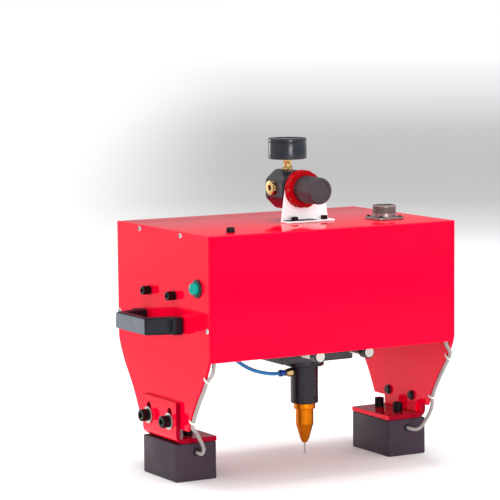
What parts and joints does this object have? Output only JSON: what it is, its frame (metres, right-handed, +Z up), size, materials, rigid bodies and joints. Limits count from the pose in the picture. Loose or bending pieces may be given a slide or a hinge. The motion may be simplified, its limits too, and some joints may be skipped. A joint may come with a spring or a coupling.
{
  "type": "nameplate marking machine",
  "caption": "Portable pneumatic dot marker: red sheet-metal bridge on two electromagnet feet, XY rod stage with a spring-return stylus head, regulator and gauge.",
  "frame": {"origin": "on the floor under the middle of the housing, level with the magnets' bottom faces", "axes": "+X along the housing, from the left handle to the right one; -Y towards the user, where the pressure knob points; +Z up"},
  "size_m": [0.3766, 0.205, 0.3512],
  "materials": {
    "red_paint": "gloss",
    "black_plastic": "satin",
    "black_anodised": "anodised satin",
    "magnet_grey": "matte",
    "bright_steel": "polished",
    "black_oxide": "black oxide",
    "brass": "satin",
    "gold_anodised": "anodised gloss",
    "white_paint": "satin",
    "grey_cable": "satin",
    "blue_tube": "gloss",
    "green_cap": "gloss",
    "clear_lens": "clear",
    "socket_metal": "satin",
    "aluminium": "satin"
  },
  "bodies": {
    "housing": {"air_bulkhead": "black_plastic", "bracket_screw_left": "black_oxide", "bracket_screw_right": "black_oxide", "cable_connector": "socket_metal", "connector_insert": "black_plastic", "cover_shell": "red_paint", "gauge_case": "black_plastic", "gauge_lens": "clear_lens", "gauge_stem": "brass", "inlet_fitting": "brass", "left_clamp_bolt_back": "black_oxide", "left_clamp_bolt_front": "black_oxide", "left_end_plate": "red_paint", "left_handle": "black_plastic", "left_magnet_lead": "grey_cable", "plate_screw_back": "black_oxide", "plate_screw_front": "black_oxide", "regulator_body": "black_plastic", "regulator_bracket": "white_paint", "regulator_ring_nut": "red_paint", "right_clamp_bolt_back": "black_oxide", "right_clamp_bolt_front": "black_oxide", "right_end_plate": "red_paint", "right_handle": "black_plastic", "right_magnet_lead": "grey_cable", "start_button_housing": "black_plastic", "x_motor": "black_oxide", "x_rod_back": "bright_steel", "x_rod_front": "bright_steel"},
    "x_carriage": {"x_slider_front": "black_anodised", "x_slider_back": "black_anodised", "y_rod_left": "bright_steel", "y_rod_right": "bright_steel", "y_motor": "black_oxide", "air_valve": "aluminium", "valve_fitting": "brass"},
    "y_carriage": {"y_carriage": "black_anodised", "head_body": "black_anodised", "head_nose": "gold_anodised", "head_fitting": "brass", "head_collet": "blue_tube", "head_tube": "blue_tube"},
    "stylus": {"head_stylus": "bright_steel"},
    "x_screw": {"x_screw": "bright_steel"},
    "y_screw": {"y_screw": "bright_steel"},
    "start_button": {"start_button_cap": "green_cap"},
    "regulator_spindle": {"regulator_spindle": "bright_steel"},
    "regulator_knob": {"regulator_knob": "black_plastic"},
    "gauge_pointer": {"gauge_pointer": "white_paint"},
    "left_foot": {"left_foot_bracket": "red_paint", "left_magnet": "magnet_grey", "left_magnet_screw_front": "black_oxide", "left_magnet_screw_back": "black_oxide"},
    "right_foot": {"right_foot_bracket": "red_paint", "right_magnet": "magnet_grey", "right_magnet_screw_front": "black_oxide", "right_magnet_screw_back": "black_oxide"}
  },
  "joints": [
    {"name": "x_carriage_slide", "type": "slide", "parent": "housing", "child": "x_carriage", "axis": [1, 0, 0], "range_m": [-0.062, 0.058]},
    {"name": "x_screw_turn", "type": "hinge", "parent": "housing", "child": "x_screw", "pos_m": [0, 0.08, 0.196], "axis": [1, 0, 0], "range_deg": [-2800, 2620]},
    {"name": "y_carriage_slide", "type": "slide", "parent": "x_carriage", "child": "y_carriage", "axis": [0, 1, 0], "range_m": [-0.032, 0.048], "deforming": ["head_tube"]},
    {"name": "y_screw_turn", "type": "hinge", "parent": "x_carriage", "child": "y_screw", "pos_m": [0.018, 0, 0.165], "axis": [0, 1, 0], "range_deg": [-1450, 2170]},
    {"name": "stylus_strike", "type": "slide", "parent": "y_carriage", "child": "stylus", "axis": [0, 0, -1], "range_m": [0, 0.006], "stiffness_N_per_m": 400, "springref_m": -0.003},
    {"name": "start_button_press", "type": "slide", "parent": "housing", "child": "start_button", "axis": [1, 0, 0], "range_m": [0, 0.0025], "stiffness_N_per_m": 600, "springref_m": -0.001},
    {"name": "regulator_turn", "type": "hinge", "parent": "housing", "child": "regulator_spindle", "pos_m": [0.0068, -0.0316, 0.2985], "axis": [0, -1, 0], "range_deg": [-540, 540]},
    {"name": "regulator_pull", "type": "slide", "parent": "regulator_spindle", "child": "regulator_knob", "axis": [0, -1, 0], "range_m": [0, 0.003]},
    {"name": "gauge_pointer_turn", "type": "hinge", "parent": "housing", "child": "gauge_pointer", "pos_m": [0.0068, 0.0053, 0.3452], "axis": [0, 0, -1], "range_deg": [0, 270], "stiffness_Nm_per_rad": 0.001},
    {"name": "left_foot_height", "type": "slide", "parent": "housing", "child": "left_foot", "axis": [0, 0, -1], "range_m": [0, 0.0095], "deforming": ["left_magnet_lead"]},
    {"name": "right_foot_height", "type": "slide", "parent": "housing", "child": "right_foot", "axis": [0, 0, -1], "range_m": [0, 0.0095], "deforming": ["right_magnet_lead"]}
  ],
  "couplings": [
    {"joint": "x_screw_turn", "follows": "x_carriage_slide", "rad_per_m": 785.4},
    {"joint": "y_screw_turn", "follows": "y_carriage_slide", "rad_per_m": 785.4}
  ]
}
